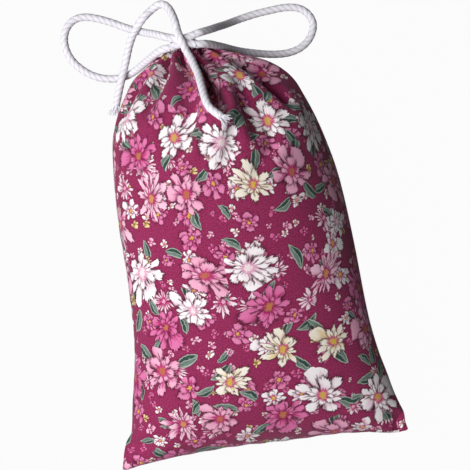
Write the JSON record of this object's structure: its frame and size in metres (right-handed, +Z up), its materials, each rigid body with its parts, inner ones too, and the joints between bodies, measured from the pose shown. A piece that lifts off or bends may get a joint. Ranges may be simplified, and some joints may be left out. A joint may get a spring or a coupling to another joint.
{
  "type": "lavender sachet",
  "caption": "Gathered cotton bag with a small flower print, filled with dried lavender and tied shut with a white cord bow, lying on its back.",
  "frame": {"origin": "middle of the bag's length and width, on the surface that its back lies on", "axes": "+X across the bag to the right seen from the front, +Y from the bottom seam to the neck, +Z up out of the front"},
  "size_m": [0.1016, 0.1575, 0.0434],
  "materials": {
    "printed_cotton": "matte",
    "sewing_thread": "matte",
    "white_cotton_cord": "matte",
    "dried_lavender": "matte"
  },
  "bodies": {
    "bag": {"front_panel": "printed_cotton", "back_panel": "printed_cotton", "front_casing": "printed_cotton", "back_casing": "printed_cotton", "left_seam_allowance": "printed_cotton", "right_seam_allowance": "printed_cotton", "bottom_seam_allowance": "printed_cotton", "left_seam_thread": "sewing_thread", "right_seam_thread": "sewing_thread", "bottom_seam_thread": "sewing_thread", "front_casing_thread": "sewing_thread", "back_casing_thread": "sewing_thread", "lavender_filling": "dried_lavender", "neck_cord": "white_cotton_cord", "bow_knot": "white_cotton_cord"},
    "left_loop": {"left_loop": "white_cotton_cord"},
    "right_loop": {"right_loop": "white_cotton_cord"},
    "left_tail": {"left_tail": "white_cotton_cord"},
    "front_tail": {"front_tail": "white_cotton_cord"}
  },
  "joints": [
    {"name": "left_loop_lift", "type": "hinge", "parent": "bag", "child": "left_loop", "pos_m": [-0.0115, 0.069, 0.0243], "axis": [0, 1, 0], "range_deg": [0, 80]},
    {"name": "left_tail_lift", "type": "hinge", "parent": "left_loop", "child": "left_tail", "pos_m": [-0.0115, 0.0727, 0.0243], "axis": [0, 1, 0], "range_deg": [0, 40]},
    {"name": "right_loop_lift", "type": "hinge", "parent": "bag", "child": "right_loop", "pos_m": [-0.0089, 0.069, 0.0243], "axis": [0, -1, 0], "range_deg": [0, 80]},
    {"name": "front_tail_lift", "type": "hinge", "parent": "bag", "child": "front_tail", "pos_m": [-0.0093, 0.0653, 0.0249], "axis": [-1, 0, 0], "range_deg": [0, 70]}
  ]
}
